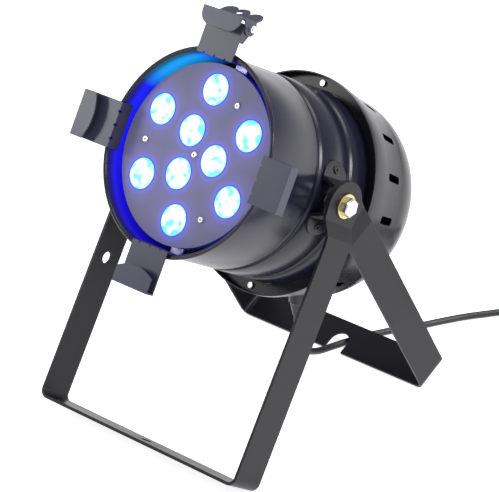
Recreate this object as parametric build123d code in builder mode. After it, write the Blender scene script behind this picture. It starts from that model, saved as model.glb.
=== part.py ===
"""Short LED par can on a double floor yoke, modelled as the separate pieces that it is made of.

Millimetres, +Z up. The lamp looks towards -Y and up, the tilt axis runs along X, the stand rests on Z = 0
and the origin is on the floor in the middle of the stand's footprint.
"""
import os
from math import asin, cos, degrees, hypot, pi, radians, sin, sqrt, tan

from build123d import *

os.makedirs("parts", exist_ok=True)

# ---------------------------------------------------------------- stand
PIVOT_Z = 239.5            # tilt axis above the floor
FRONT_LEAN = 33.8          # front yoke, degrees off vertical
REAR_LEAN = 27.7           # rear yoke, degrees off vertical
STRAP_W = 36.0
STRAP_T = 3.0
TAB_R = 23.0               # round pivot end of each leg
NECK = 40.0                # where the round end has narrowed to the strap
BEND_R = 9.0               # outside radius of the bottom bends
JOG_R = 6.0                # radius of the joggles near the pivot
FRONT_JOG = (17.0, 32.0)   # joggle of the front yoke, start and end below the pivot
REAR_JOG = (26.0, 42.0)
HANG_HOLE_R = 5.25         # hook bolt hole in the front crossbar
LEG_HOLE_R = 6.0           # safety wire hole in the left front leg
LEG_HOLE_DROP = 129.5      # that hole below the pivot
NOTCH_R = 11.0             # lead notch in the rear crossbar
NOTCH_X = 2.0
NOTCH_DEPTH = 22.0

# ---------------------------------------------------------------- pivot stack
BOLT_R = 5.0
BOLT_AF = 16.0
BOLT_HEAD = 6.4
HEAD_BEVEL = 0.8
BOLT_REACH = 24.0          # shank below the head
NUT_H = 8.0
WASHER_R = 11.8
WASHER_T = 2.0
FIBRE_R = 12.5
FIBRE_T = 1.0
STACK_GAP = 0.1            # between faces that turn on each other
RUN_GAP = 0.08             # radial, bolt in its holes
YOKE_GAP = 0.3             # between the round ends of the two yokes
HEX = 6
BOLT_CLOCK = 8.0           # how the heads and nuts happen to stand, degrees
NUT_CLOCK = 20.0
HEAD_TAPER = 50.0

# ---------------------------------------------------------------- can
TILT = 31.9                # optical axis above level, degrees
AXIS_DROP = 2.8            # can axis below the tilt axis
SHEET = 1.2
BARREL_R = 96.4
RIM_R = BARREL_R + 3.6
RIM_S = 94.7               # front of the rim, ahead of the tilt axis
RIM_ROLL = 1.9
BARREL_END = -66.0
BEADS = (18.5, -29.0)      # middles of the two rolled grooves
BEAD_W = 8.0
BEAD_D = 2.2
BEAD_EDGE_R = 1.5
SKIRT_R = BARREL_R + 13.6  # rear cover, front skirt
SKIRT_S = -51.0
SKIRT_LEN = 6.0
CREASE_1 = (BARREL_R + 9.6, -75.0)  # radius and station of the fold ahead of the vents
CREASE_2 = (BARREL_R + 4.6, -106.0)
DOME_R = 58.0              # rounding from the second fold to the flat back
FLANGE_S = -61.0           # inner flange of the rear cover
COVER_SCREWS = 4
COVER_SCREW_PCR = BARREL_R + 6.1
COVER_SCREW_R = 1.5        # M3, in its holes
COVER_SCREW_LEN = 7.0
COVER_HEAD = (3.0, 2.0)    # head radius and height
COVER_TAB = (11.0, 14.0)   # barrel's tabs behind the inner flange
COVER_TAB_OUT = 4.5        # their middle outside the barrel
COVER_GAP = 0.3            # inner flange to the barrel
SKIRT_LAP = 1.0            # inner flange short of the skirt
VENTS = 16
VENT_L = 21.0
VENT_H = 7.5
VENT_CORNER = 2.0
VENT_CUT = (6.0, 18.0)     # cut from inside the second fold, and how far it runs out

# ---------------------------------------------------------------- light engine
FACE_R = BARREL_R - 9.4
FACE_S = 81.5              # front of the face plate
FACE_T = 1.5
FACE_SKIRT = 6.0           # its folded edge
FACE_HOLE_R = 1.7
SCREW_R = 1.5
SCREW_LEN = 8.0
SCREW_HEAD_R = 3.2
SCREW_HEAD = 1.6
SCREW_TAPER = 20.0
SCREW_SOCKET = (1.3, 1.1)  # hex socket: corner radius and depth
STANDOFF_R = 3.2
LENS_R = 15.0
LENS_FLANGE = 2.0
LENS_PROUD = 0.4
LENS_DEPTH = 15.5
LENS_WAIST = 5.0           # the small end over the emitter
LENS_POCKET = 4.0
LENS_CROWN = 1.2
LENS_EDGE = 1.2
HOLDER_WALL = 0.45         # holder's collar in the face plate
HOLDER_GAP = 0.05
HOLDER_FOOT = (4.0, 1.5)   # wall width and bore height at the board
HOLDER_TOP = 4.0           # cone ends this far behind the face plate
OUTER_PCR = FACE_R - 24.0
INNER_PCR = 24.0
CLOCK = 92.2               # first outer lens, degrees from +X
BOARD_R = FACE_R - 7.0
BOARD_T = 1.6
BOARD_S = 61.5             # front of the LED board
BOARD_SLOT = (12.0, 6.0)   # wire slot
BOARD_SLOT_IN = 8.0
CHIP = (5.6, 1.0)          # emitter's square and thickness
CHIP_DOME = (2.2, 1.8)
CHIP_TAPER = 25.0
SINK_BASE = 5.0
SINK_LUG_W = 14.0          # lugs that hold the heat sink in the barrel
SINK_LEN = 32.0
FIN_T = 2.0
FIN_PITCH = 12.0
POST_R = 4.0
POST_XY = (42.0, 30.0)
PSU_S = 10.0               # front of the power supply board
PSU_SIZE = (104.0, 78.0)
COIL_BOX = (34.0, 30.0, 26.0)      # transformer: width, height, depth
COIL_AT = (-18.0, 4.0)
CAP_BOX = (7.0, 22.0)              # capacitors: radius and height
CAPS = ((18.0, 18.0), (36.0, 18.0))
CHOKE_BOX = (18.0, 24.0, 3.0)      # choke: width, height, corner
CHOKE_AT = (30.0, -14.0)

# ---------------------------------------------------------------- colour frame clips
CLIP_W = 45.0
CLIP_T = 1.5
CLIP_REACH = BARREL_R + 37.1  # outside of the clips, from the can axis
CLIP_S = 96.5              # back face of the radial plates
CLIP_SLOT = 7.5            # room for the colour frame
CLIP_LIP = 15.0            # lip at its corners
CLIP_BULGE = 6.0           # how much further the lip reaches in the middle
CLIP_ROOT = 14.0           # tab inside the barrel
CLIP_NOTCH = 3.0
NOTCH_SIDE = 1.8           # slanted sides of a notch, as a share of its depth
NOTCH_SHARE = 3.4          # notch pitch as a share of the clip's width
LATCH_X = -4.0             # the sprung top clip sits a little to the left
LATCH_PIN = (90.0, BARREL_R + 29.6)  # its pin, station and height
LATCH_PIN_R = 2.0
LATCH_LIP = 16.5           # depth of the latch's lip
LIP_CORNER = 12.0
EAR_R = 7.5
EAR_GAP = 0.3              # ears beside the fixed bracket
BRACKET_EAR_R = 4.9
BRACKET_OVER = 2.0         # bracket's plate above the pin
BRACKET_DROP = 16.0        # its ears below the pin
BRACKET_NECK = 4.0
BRACKET_WEB = (7.0, 30.0)  # opening between its ears: middle below the pin, size
THUMB_FRONT = 2.0          # fold of the thumb flange, behind the pin
THUMB_LAP = 0.4
WAVE_R = 8.0               # wavy rear edge of the thumb flange
WAVE_BACK = (8.0, 6.5, 7.5)
WAVE_SIDE = 9.0
THUMB_HOLE = (0.55, -4.0)  # hole: share of the flange's run, and sideways
PIN_SLIP = 0.06
PIN_PLAY = 0.1
PIN_HEAD = (3.6, 2.0, 15.0)        # radius, height, taper
LATCH_NUT = (3.5, 4.0, 0.6)        # radius across flats, height, thread showing
LIP_SLOT = (6.0, 2.6)
LIP_SLOT_IN = (4.5, 3.0)   # from the side and from the lip
EAR_FRONT = 5.0            # ears stop short of the lip
EAR_BACK = 3.0
THUMB_BACK = 15.0          # thumb flange: how far it runs back and up
THUMB_RISE = 9.0
THUMB_HOLE_R = 3.5
SPRING_R = 3.4
SPRING_WIRE = 0.8
SPRING_TURNS = 7
SPRING_OPEN = 1.5          # pitch as a multiple of the wire

# ---------------------------------------------------------------- side brackets
BRACKET_PAD = BARREL_R + 17.6  # outer face of the pad that the yokes clamp on
BRACKET_T = 2.5
BRACKET_W = 35.0
BRACKET_S = -4.5
PAD_HALF = 14.0
FOOT_IN = 20.0
FOOT_OUT = 36.0
FOOT_HOLE = 27.0
FRONT_HALF = BRACKET_PAD + 16.6      # outer face of the front yoke's legs
REAR_HALF = BRACKET_PAD + 8.0        # outer face of the rear yoke's legs
RIVET_R = 2.0
RIVET_HEAD_R = 4.0
RIVET_HEAD = 1.0
RIVET_TAPER = 25.0
RIVET_WALL = 0.8           # hollow rivet
RIVET_DEEP = 2.4
RIVET_SEAT = 0.02
RIVET_PLAY = 0.05
FOOT_GAP = 0.1             # foot to the barrel

# ---------------------------------------------------------------- rear panel and lead
XLR_X = 16.5
XLR_U = -14.0
XLR_FLANGE = (26.0, 31.0)
XLR_FLANGE_T = 2.0
XLR_BODY_R = 11.5
XLR_BODY_LEN = 24.0
XLR_MOUTH_R = 9.4
XLR_MOUTH_DEEP = 15.0
XLR_TAB = (6.0, 3.4)       # release tab of the output socket
XLR_TAB_U = -2.0
XLR_TAB_OUT = 1.6          # how far it stands out
XLR_TAB_LEN = 4.6
XLR_TAB_ROOM = (0.6, 0.8, 5.0)     # gap in the socket, gap in the cover, depth
XLR_CORNER = 2.5
XLR_HOLE_GAP = 0.4
XLR_PIN_PCR = 3.6
XLR_PIN_R = 1.2
XLR_PIN_BACK = 2.0
XLR_CORE_R = 7.4
DISPLAY_U = 20.5
DISPLAY_SIZE = (34.0, 14.0)
DISPLAY_GAP = 0.2
DISPLAY_PROUD = 0.6
DISPLAY_LIP = (4.0, 3.0, 1.0)      # flange inside: wider, higher, thick
DISPLAY_DEEP = 4.0         # display and switches on the board
BUTTON_R = 3.0
BUTTON_U = 7.0
BUTTON_PITCH = 12.0
BUTTONS = 4
BUTTON_TRAVEL = 0.8
BUTTON_GAP = 0.3
BUTTON_OUT = 1.8
BUTTON_REST = 0.2          # left when fully pressed
SWITCH = (6.0, 4.0)
CONTROL_SIZE = (58.0, 27.0)
CONTROL_S = CREASE_2[1] - DOME_R + 13.6
CONTROL_U = 19.0
BOSS_R = 3.0               # the cover's bosses that carry the control board
BOSSES = ((-24.0, 18.0), (24.0, 18.0))
GLAND_ANGLE = 27.0         # round the dome from the second fold
GLAND_R = 9.3
GLAND_NECK_R = 4.6
GLAND_LEN = 27.0
GLAND_CONE = (12.0, 14.0, 1.5)     # end of the cap's collar, start of its cone, step between
CABLE_HOLE_R = 6.0
CABLE_HOLE_CUT = 4.0
LOCKNUT = (9.0, 3.5)       # radius and thickness
GLAND_PLAY = 0.1
CORD_D = 7.0
LEAD_DROP = 21.5           # straight run out of the gland
CORD_ROUTE = (             # then as it hangs and lies, to where the coil takes it up
    (-1, 65, 17), (-2, 86, 5.5), (0, 108, 3.6), (6, 130, 3.6), (14, 152, 3.6), (25, 174, 3.6),
    (38, 195, 3.6), (49, 218, 3.6), (61, 241, 3.6), (76, 262, 3.6), (90, 284, 3.6), (105, 308, 5.0),
)
ARC_SHARE = 0.45           # of the shorter run, taken by each corner's arc
COIL_MID_R = 38.5
COIL_WIDE = 2              # turns beside each other
COIL_HIGH = 3              # turns on each other
COIL_Z = 1.5
COIL_TAIL = 17.0           # from the last turn to the plug's strain relief
TAIL_ANGLE = 39.6          # where the lead leaves the coil
TIE_T = 1.0
TIE_W = 12.0
TIE_ANGLE = radians(130)   # where the tie sits round the coil
COIL_ROUND = 0.1           # the coil's corners short of a full round
PLUG_R = 18.5
PLUG_LEN = 36.0
PLUG_NECK_R = 4.6          # strain relief's small end
PLUG_RELIEF = 30.0
PLUG_REAR_R = 9.0
PLUG_SHOULDER = (10.0, 4.0)
PLUG_GRIP = (14.0, 12.0, 1.5)      # start and end of the step to the front, and its height
PLUG_REST = 0.3            # clear of the floor
PIN_R = 2.4                # the plug's pins
PIN_LEN = 19.0
PIN_HALF = 9.5

# ---------------------------------------------------------------- frames
X_AXIS = Vector(1, 0, 0)


def leg_length(lean):
    """Pivot to the crossbar's outer face, so that the crossbar's lower edge is on the floor."""
    return (PIVOT_Z - STRAP_W / 2 * sin(radians(lean))) / cos(radians(lean))


FRONT_LEG = leg_length(FRONT_LEAN)
REAR_LEG = leg_length(REAR_LEAN)
T = radians(TILT)
front_reach = FRONT_LEG * sin(radians(FRONT_LEAN)) + STRAP_W / 2 * cos(radians(FRONT_LEAN))
BACK_R = CREASE_2[0] - DOME_R
BACK_S = CREASE_2[1] - DOME_R
rear_reach = DOME_R - CREASE_2[1] * cos(T) + (BACK_R - AXIS_DROP) * sin(T)
PIVOT_Y = (front_reach - rear_reach) / 2
PIVOT = Vector(0, PIVOT_Y, PIVOT_Z)

FORWARD = Vector(0, -cos(T), sin(T))
UPWARD = Vector(0, sin(T), cos(T))
CAN = Plane(origin=PIVOT - UPWARD * AXIS_DROP, x_dir=X_AXIS, z_dir=FORWARD)
SIDE = Plane(origin=CAN.origin, x_dir=UPWARD, z_dir=X_AXIS)
CAN_AXIS = Axis(CAN.origin, FORWARD)

REAR_TAB = BRACKET_PAD + FIBRE_T + 2 * STACK_GAP + STRAP_T      # outer face of the rear yoke's round ends
FRONT_TAB = REAR_TAB + YOKE_GAP + STRAP_T
WASHER_X = FRONT_TAB + STACK_GAP + WASHER_T                     # outer face of the washer
PIVOT_HOLE = BOLT_R + RUN_GAP


def leg_frames(lean, sign):
    """Sketch planes of a yoke: across (X and up the leg) and along (width and up the leg)."""
    a = radians(lean)
    width = Vector(0, cos(a), -sin(a) * sign)
    across = Plane(origin=PIVOT, x_dir=X_AXIS, z_dir=-width)
    along = Plane(origin=PIVOT, x_dir=width, z_dir=X_AXIS)
    return across, along


FRONT_ACROSS, FRONT_ALONG = leg_frames(FRONT_LEAN, 1)
REAR_ACROSS, REAR_ALONG = leg_frames(REAR_LEAN, -1)


def strap_outline(tab, half, length, jog):
    """The folded strap seen square on: down one leg, across the foot and up the other leg."""
    right = [(tab, TAB_R), (tab, -jog[0]), (half, -jog[1]), (half, -length)]
    left = [(-x, y) for x, y in reversed(right)]
    return right + left


def yoke_sides(length):
    """The strap seen from the side: a round end that narrows to the strap."""
    Circle(TAB_R)
    with Locations((0, -NECK)):
        Rectangle(STRAP_W, 1)
    make_hull()
    with Locations((0, -(NECK + length) / 2)):
        Rectangle(STRAP_W, length - NECK + 2)


def save(part, name):
    part.part.label = name
    export_step(part.part, f"parts/{name}.step")


# ---------------------------------------------------------------- the two yokes
STRAP_RADII = [JOG_R, JOG_R, BEND_R, BEND_R, JOG_R, JOG_R]

with BuildPart() as front_yoke:
    with BuildSketch(FRONT_ACROSS):
        with BuildLine():
            line = strap_outline(FRONT_TAB, FRONT_HALF, FRONT_LEG, FRONT_JOG)
            edge = FilletPolyline(*line, radius=STRAP_RADII)
            offset(edge, amount=STRAP_T, side=Side.RIGHT)
        make_face()
    extrude(amount=TAB_R, both=True)
    with BuildSketch(FRONT_ALONG):
        yoke_sides(FRONT_LEG)
    extrude(amount=FRONT_HALF + 1, both=True, mode=Mode.INTERSECT)
    with BuildSketch(FRONT_ALONG):
        Circle(PIVOT_HOLE)
    extrude(amount=FRONT_HALF, both=True, mode=Mode.SUBTRACT)
    with BuildSketch(FRONT_ALONG.offset(-FRONT_HALF)):
        with Locations((0, -LEG_HOLE_DROP)):
            Circle(LEG_HOLE_R)
    extrude(amount=STRAP_T, both=True, mode=Mode.SUBTRACT)
    with BuildSketch(Plane(PIVOT - FRONT_ALONG.y_dir * FRONT_LEG, x_dir=X_AXIS, z_dir=FRONT_ALONG.y_dir)):
        Circle(HANG_HOLE_R)
    extrude(amount=STRAP_T, both=True, mode=Mode.SUBTRACT)
save(front_yoke, "front_yoke")

with BuildPart() as rear_yoke:
    with BuildSketch(REAR_ACROSS):
        with BuildLine():
            edge = FilletPolyline(*strap_outline(REAR_TAB, REAR_HALF, REAR_LEG, REAR_JOG), radius=STRAP_RADII)
            offset(edge, amount=STRAP_T, side=Side.RIGHT)
        make_face()
    extrude(amount=TAB_R, both=True)
    with BuildSketch(REAR_ALONG):
        yoke_sides(REAR_LEG)
    extrude(amount=REAR_HALF + 1, both=True, mode=Mode.INTERSECT)
    with BuildSketch(REAR_ALONG):
        Circle(PIVOT_HOLE)
    extrude(amount=REAR_HALF, both=True, mode=Mode.SUBTRACT)
    with BuildSketch(Plane(PIVOT - REAR_ALONG.y_dir * REAR_LEG, x_dir=X_AXIS, z_dir=REAR_ALONG.y_dir)):
        notch_top = NOTCH_DEPTH - STRAP_W / 2 - NOTCH_R
        with Locations((NOTCH_X, notch_top)):
            Circle(NOTCH_R)
        with Locations((NOTCH_X, notch_top - STRAP_W / 2)):
            Rectangle(2 * NOTCH_R, STRAP_W)
    extrude(amount=STRAP_T * 2, both=True, mode=Mode.SUBTRACT)
save(rear_yoke, "rear_yoke")

# ---------------------------------------------------------------- pivot bolts, washers and nuts
SIDES = (1, -1)
BOLT_SEAT = WASHER_X
NUT_FACE = BRACKET_PAD - BRACKET_T - STACK_GAP


def outward(side, x):
    """Plane across the tilt axis at x on one side, facing away from the can."""
    return Plane(origin=(side * x, PIVOT_Y, PIVOT_Z), x_dir=(0, side, 0), z_dir=(side, 0, 0))


with BuildPart() as pivot_bolts:
    for side in SIDES:
        with BuildSketch(outward(side, BOLT_SEAT)):
            RegularPolygon(BOLT_AF / 2, HEX, major_radius=False, rotation=BOLT_CLOCK)
        extrude(amount=BOLT_HEAD - HEAD_BEVEL)
        with BuildSketch(outward(side, BOLT_SEAT + BOLT_HEAD - HEAD_BEVEL)):
            RegularPolygon(BOLT_AF / 2, HEX, major_radius=False, rotation=BOLT_CLOCK)
        extrude(amount=HEAD_BEVEL, taper=HEAD_TAPER)
        with BuildSketch(outward(side, BOLT_SEAT - BOLT_REACH)):
            Circle(BOLT_R)
        extrude(amount=BOLT_REACH)
save(pivot_bolts, "pivot_bolts")

with BuildPart() as pivot_washers:
    for side in SIDES:
        with BuildSketch(outward(side, WASHER_X - WASHER_T)):
            Circle(WASHER_R)
            Circle(PIVOT_HOLE, mode=Mode.SUBTRACT)
        extrude(amount=WASHER_T)
save(pivot_washers, "pivot_washers")

with BuildPart() as fibre_washers:
    for side in SIDES:
        with BuildSketch(outward(side, BRACKET_PAD + STACK_GAP)):
            Circle(FIBRE_R)
            Circle(PIVOT_HOLE, mode=Mode.SUBTRACT)
        extrude(amount=FIBRE_T)
save(fibre_washers, "fibre_washers")

with BuildPart() as pivot_nuts:
    for side in SIDES:
        with BuildSketch(outward(side, NUT_FACE - NUT_H)):
            RegularPolygon(BOLT_AF / 2, HEX, major_radius=False, rotation=NUT_CLOCK)
            Circle(BOLT_R, mode=Mode.SUBTRACT)
        extrude(amount=NUT_H)
save(pivot_nuts, "pivot_nuts")

# ---------------------------------------------------------------- can barrel
BARREL_IN = BARREL_R - SHEET
with BuildPart() as can_barrel:
    with BuildSketch(SIDE):
        with BuildLine():
            wall = [(BARREL_R, RIM_S - RIM_ROLL)]
            for middle in BEADS:
                half, floor = BEAD_W / 2, BEAD_W / 4
                wall += [(BARREL_R, middle + half), (BARREL_R - BEAD_D, middle + floor)]
                wall += [(BARREL_R - BEAD_D, middle - floor), (BARREL_R, middle - half)]
            wall += [(BARREL_R, BARREL_END)]
            outer = FilletPolyline(*wall, radius=BEAD_EDGE_R)
            offset(outer, amount=SHEET, side=Side.RIGHT)
        make_face()
        with Locations((RIM_R - RIM_ROLL, RIM_S - RIM_ROLL)):
            Circle(RIM_ROLL)
    revolve(axis=CAN_AXIS)
    with BuildSketch(CAN.offset(FLANGE_S - SHEET)):
        with PolarLocations(0, COVER_SCREWS, start_angle=-90):
            with Locations((BARREL_R + COVER_TAB_OUT, 0)):
                Rectangle(*COVER_TAB)
        Circle(BARREL_R - SHEET / 2, mode=Mode.SUBTRACT)
        with PolarLocations(COVER_SCREW_PCR, COVER_SCREWS, start_angle=-90):
            Circle(COVER_SCREW_R, mode=Mode.SUBTRACT)
    extrude(amount=-SHEET)
save(can_barrel, "can_barrel")

# ---------------------------------------------------------------- rear cover
COVER_IN = BARREL_R + COVER_GAP
dome_mid = (BACK_R + DOME_R * cos(pi / 4), CREASE_2[1] - DOME_R * sin(pi / 4))
dome_in = DOME_R - SHEET
inner_mid = (BACK_R + dome_in * cos(pi / 4), CREASE_2[1] - dome_in * sin(pi / 4))
SKIRT_BACK = (SKIRT_R, SKIRT_S - SKIRT_LEN)
BACK_FACE = CAN.offset(BACK_S)
GLAND_A = radians(GLAND_ANGLE)
GLAND_DIR = -UPWARD * cos(GLAND_A) - FORWARD * sin(GLAND_A)
GLAND_SEAT = (
    CAN.origin
    - UPWARD * (BACK_R + DOME_R * cos(GLAND_A))
    + FORWARD * (CREASE_2[1] - DOME_R * sin(GLAND_A))
)
GLAND = Plane(origin=GLAND_SEAT, x_dir=X_AXIS, z_dir=GLAND_DIR)

with BuildPart() as rear_cover:
    with BuildSketch(SIDE):
        with BuildLine():
            Polyline((SKIRT_R, SKIRT_S), SKIRT_BACK, CREASE_1, CREASE_2)
            dome = ThreePointArc(CREASE_2, dome_mid, (BACK_R, BACK_S))
            back = Line(dome @ 1, (0, BACK_S))
            Line(back @ 1, (0, BACK_S + SHEET))
            inner_back = Line((0, BACK_S + SHEET), (BACK_R, BACK_S + SHEET))
            ThreePointArc(inner_back @ 1, inner_mid, (CREASE_2[0] - SHEET, CREASE_2[1]))
            inside = [(x - SHEET, s) for x, s in (CREASE_2, CREASE_1, SKIRT_BACK, (SKIRT_R, SKIRT_S))]
            Polyline(*inside)
            Line(inside[-1], (SKIRT_R, SKIRT_S))
        make_face()
    revolve(axis=CAN_AXIS)
    with BuildSketch(CAN.offset(FLANGE_S)):
        Circle(SKIRT_R - SHEET / 2 - SKIRT_LAP)
        Circle(COVER_IN, mode=Mode.SUBTRACT)
        with PolarLocations(COVER_SCREW_PCR, COVER_SCREWS, start_angle=-90):
            Circle(COVER_SCREW_R, mode=Mode.SUBTRACT)
    extrude(amount=-SHEET)
    band = (CREASE_1[1] + CREASE_2[1]) / 2
    for k in range(VENTS):
        around = Plane(
            origin=CAN.origin + FORWARD * band,
            x_dir=FORWARD,
            z_dir=X_AXIS * cos(2 * pi * k / VENTS) + UPWARD * sin(2 * pi * k / VENTS),
        )
        with BuildSketch(around.offset(CREASE_2[0] - VENT_CUT[0])):
            RectangleRounded(VENT_L, VENT_H, VENT_CORNER)
        extrude(amount=VENT_CUT[1], mode=Mode.SUBTRACT)
    with BuildSketch(BACK_FACE.offset(SHEET)):
        with Locations(*BOSSES):
            Circle(BOSS_R)
    extrude(amount=CONTROL_S - BOARD_T - BACK_S - SHEET)
    with BuildSketch(BACK_FACE):
        with Locations((XLR_X, XLR_U), (-XLR_X, XLR_U)):
            Circle(XLR_BODY_R + XLR_HOLE_GAP)
        with Locations((-XLR_X, XLR_TAB_U)):
            Rectangle(XLR_TAB[0] + XLR_TAB_ROOM[1], XLR_TAB[1] + XLR_TAB_ROOM[1])
        with Locations((0, DISPLAY_U)):
            Rectangle(DISPLAY_SIZE[0] + DISPLAY_GAP, DISPLAY_SIZE[1] + DISPLAY_GAP)
        with Locations((0, BUTTON_U)):
            with GridLocations(BUTTON_PITCH, 1, BUTTONS, 1):
                Circle(BUTTON_R + BUTTON_GAP)
    extrude(amount=2 * SHEET, both=True, mode=Mode.SUBTRACT)
    with BuildSketch(GLAND):
        Circle(CABLE_HOLE_R)
    extrude(amount=CABLE_HOLE_CUT, both=True, mode=Mode.SUBTRACT)
save(rear_cover, "rear_cover")

with BuildPart() as rear_cover_screws:
    with BuildSketch(CAN.offset(FLANGE_S)):
        with PolarLocations(COVER_SCREW_PCR, COVER_SCREWS, start_angle=-90):
            Circle(COVER_HEAD[0])
    extrude(amount=COVER_HEAD[1])
    with BuildSketch(CAN.offset(FLANGE_S)):
        with PolarLocations(COVER_SCREW_PCR, COVER_SCREWS, start_angle=-90):
            Circle(COVER_SCREW_R - RIVET_PLAY)
    extrude(amount=-COVER_SCREW_LEN)
save(rear_cover_screws, "rear_cover_screws")

# ---------------------------------------------------------------- face plate, lenses and their holders
LENS_HOLE_R = LENS_R + HOLDER_GAP + HOLDER_WALL + STACK_GAP
outer_lenses = [(OUTER_PCR, CLOCK + 60 * k) for k in range(6)]
inner_lenses = [(INNER_PCR, CLOCK + 30 + 120 * k) for k in range(3)]
screw_places = [(OUTER_PCR, CLOCK - 30 + 120 * k) for k in range(3)] + [(0.0, 0.0)]


def polar(place):
    radius, angle = place
    return (radius * cos(radians(angle)), radius * sin(radians(angle)))


LENS_XY = [polar(place) for place in outer_lenses + inner_lenses]
SCREW_XY = [polar(place) for place in screw_places]

with BuildPart() as face_plate:
    with BuildSketch(CAN.offset(FACE_S - FACE_T)):
        Circle(FACE_R)
        with Locations(*LENS_XY):
            Circle(LENS_HOLE_R, mode=Mode.SUBTRACT)
        with Locations(*SCREW_XY):
            Circle(FACE_HOLE_R, mode=Mode.SUBTRACT)
    extrude(amount=FACE_T)
    with BuildSketch(CAN.offset(FACE_S - FACE_T)):
        Circle(FACE_R)
        Circle(FACE_R - SHEET, mode=Mode.SUBTRACT)
    extrude(amount=-FACE_SKIRT)
save(face_plate, "face_plate")

with BuildPart() as face_screws:
    with BuildSketch(CAN.offset(FACE_S)):
        with Locations(*SCREW_XY):
            Circle(SCREW_HEAD_R)
    extrude(amount=SCREW_HEAD, taper=SCREW_TAPER)
    with BuildSketch(CAN.offset(FACE_S + SCREW_HEAD)):
        with Locations(*SCREW_XY):
            RegularPolygon(SCREW_SOCKET[0], HEX)
    extrude(amount=-SCREW_SOCKET[1], mode=Mode.SUBTRACT)
    with BuildSketch(CAN.offset(FACE_S)):
        with Locations(*SCREW_XY):
            Circle(SCREW_R)
    extrude(amount=-SCREW_LEN)
save(face_screws, "face_screws")

with BuildPart() as face_standoffs:
    with BuildSketch(CAN.offset(BOARD_S)):
        with Locations(*SCREW_XY):
            RegularPolygon(STANDOFF_R, HEX)
            Circle(SCREW_R, mode=Mode.SUBTRACT)
    extrude(amount=FACE_S - FACE_T - BOARD_S)
save(face_standoffs, "face_standoffs")

LENS_FRONT = FACE_S + LENS_PROUD
LENS_BACK = LENS_FRONT - LENS_DEPTH
CROWN_HALF = LENS_R - LENS_EDGE
CROWN_R = (CROWN_HALF**2 + LENS_CROWN**2) / (2 * LENS_CROWN)
HOLDER_R = LENS_HOLE_R + 1.0
HOLDER_SEAT = LENS_FRONT - LENS_FLANGE - STACK_GAP
POCKET = LENS_BACK + LENS_POCKET
CROWN_TOP = LENS_FRONT + LENS_CROWN


def spot(xy):
    """Plane through one lens axis: radius to the right, towards the front upwards."""
    origin = CAN.origin + X_AXIS * xy[0] + UPWARD * xy[1]
    return Plane(origin=origin, x_dir=UPWARD, z_dir=X_AXIS)


for number, xy in enumerate(LENS_XY, start=1):
    plane = spot(xy)
    with BuildPart() as lens:
        with BuildSketch(plane):
            with BuildLine():
                Polyline((0, POCKET), (LENS_WAIST - LENS_EDGE, POCKET),
                         (LENS_WAIST - LENS_EDGE / 2, LENS_BACK), (LENS_WAIST, LENS_BACK),
                         (LENS_R - LENS_EDGE, LENS_FRONT - LENS_FLANGE),
                         (LENS_R, LENS_FRONT - LENS_FLANGE), (LENS_R, LENS_FRONT - LENS_PROUD),
                         (CROWN_HALF, LENS_FRONT))
                CenterArc((0, CROWN_TOP - CROWN_R), CROWN_R, 90, -degrees(asin(CROWN_HALF / CROWN_R)))
                Line((0, CROWN_TOP), (0, POCKET))
            make_face()
        revolve(axis=Axis(plane.origin, FORWARD))
    save(lens, f"lens_{number}")
    with BuildPart() as lens_holder:
        with BuildSketch(plane):
            with BuildLine():
                bore = LENS_R + HOLDER_GAP
                small = LENS_WAIST + LENS_PROUD
                Polyline((bore, LENS_FRONT), (bore, HOLDER_SEAT), (LENS_R - LENS_EDGE / 2, HOLDER_SEAT),
                         (small, BOARD_S + HOLDER_FOOT[1]), (small, BOARD_S),
                         (LENS_WAIST + HOLDER_FOOT[0], BOARD_S),
                         (HOLDER_R, FACE_S - FACE_T - HOLDER_TOP), (HOLDER_R, FACE_S - FACE_T),
                         (bore + HOLDER_WALL, FACE_S - FACE_T), (bore + HOLDER_WALL, LENS_FRONT), close=True)
            make_face()
        revolve(axis=Axis(plane.origin, FORWARD))
    save(lens_holder, f"lens_holder_{number}")

# ---------------------------------------------------------------- LED board, emitters and heat sink
with BuildPart() as led_board:
    with BuildSketch(CAN.offset(BOARD_S)):
        Circle(BOARD_R)
        with Locations((0, -BOARD_R + BOARD_SLOT_IN)):
            SlotOverall(*BOARD_SLOT, mode=Mode.SUBTRACT)
    extrude(amount=-BOARD_T)
save(led_board, "led_board")

with BuildPart() as led_emitters:
    with BuildSketch(CAN.offset(BOARD_S)):
        with Locations(*LENS_XY):
            Rectangle(CHIP[0], CHIP[0])
    extrude(amount=CHIP[1])
    with BuildSketch(CAN.offset(BOARD_S + CHIP[1])):
        with Locations(*LENS_XY):
            Circle(CHIP_DOME[0])
    extrude(amount=CHIP_DOME[1], taper=CHIP_TAPER)
save(led_emitters, "led_emitters")

SINK_FRONT = BOARD_S - BOARD_T
SINK_BACK = SINK_FRONT - SINK_BASE
POSTS = [(x, u) for x in (-POST_XY[0], POST_XY[0]) for u in (-POST_XY[1], POST_XY[1])]
with BuildPart() as heat_sink:
    with BuildSketch(CAN.offset(SINK_FRONT)):
        Rectangle(2 * BARREL_R, SINK_LUG_W)
        Rectangle(SINK_LUG_W, 2 * BARREL_R)
        Circle(BARREL_IN - HOLDER_GAP, mode=Mode.INTERSECT)
        Circle(BOARD_R)
    extrude(amount=-SINK_BASE)
    with BuildSketch(CAN.offset(SINK_BACK)):
        with GridLocations(FIN_PITCH, 1, int(2 * BOARD_R / FIN_PITCH) - 1, 1):
            Rectangle(FIN_T, 2 * BOARD_R)
        Circle(BOARD_R - 1, mode=Mode.INTERSECT)
    extrude(amount=-SINK_LEN)
    with BuildSketch(CAN.offset(SINK_BACK)):
        with Locations(*POSTS):
            Circle(POST_R)
    extrude(amount=PSU_S - SINK_BACK)
save(heat_sink, "heat_sink")

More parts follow.
